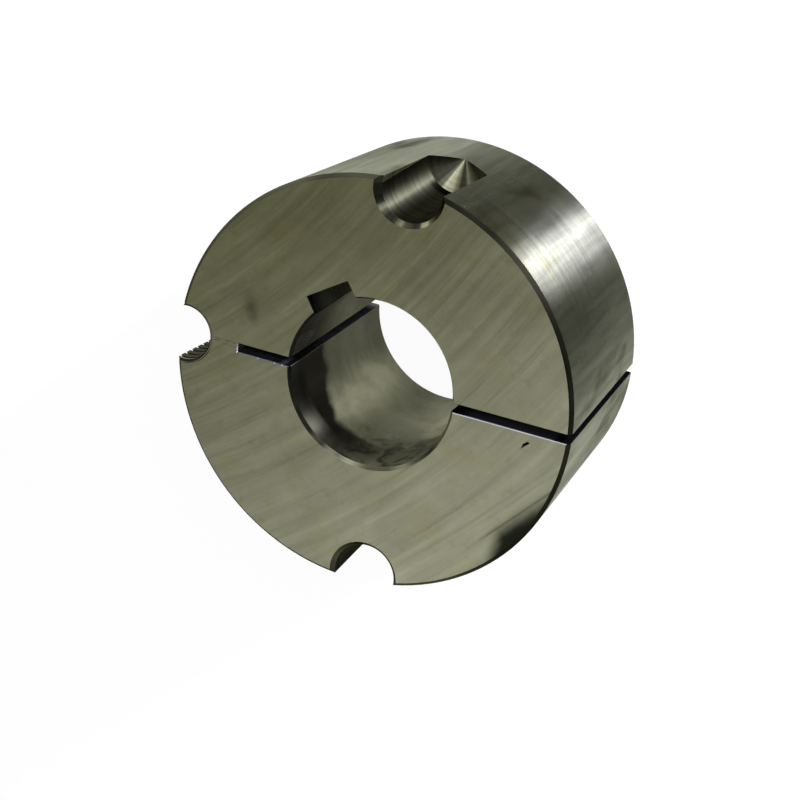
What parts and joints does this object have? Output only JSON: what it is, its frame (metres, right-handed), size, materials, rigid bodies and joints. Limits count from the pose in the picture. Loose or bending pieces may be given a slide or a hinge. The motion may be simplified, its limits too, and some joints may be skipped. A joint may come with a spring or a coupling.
{
  "type": "taper bush",
  "caption": "Split taper bush with a keyed shaft bore, plain and threaded screw half holes in the rim of its large end, a through slit and a relief slit.",
  "frame": {"origin": "centre of the bore on the small end face, on which the bush stands", "axes": "+Z along the bore axis from the small end to the large end; +X out through the through slit; +Y completes the right-handed frame, with one plain half hole near +Y and the other near -Y, and the threaded half hole at -X"},
  "size_m": [0.0853, 0.0854, 0.0444],
  "materials": {
    "ground_iron": "ground and turned bare iron with a light oil film"
  },
  "bodies": {
    "root": {"taper_bush": "ground_iron"}
  },
  "joints": []
}
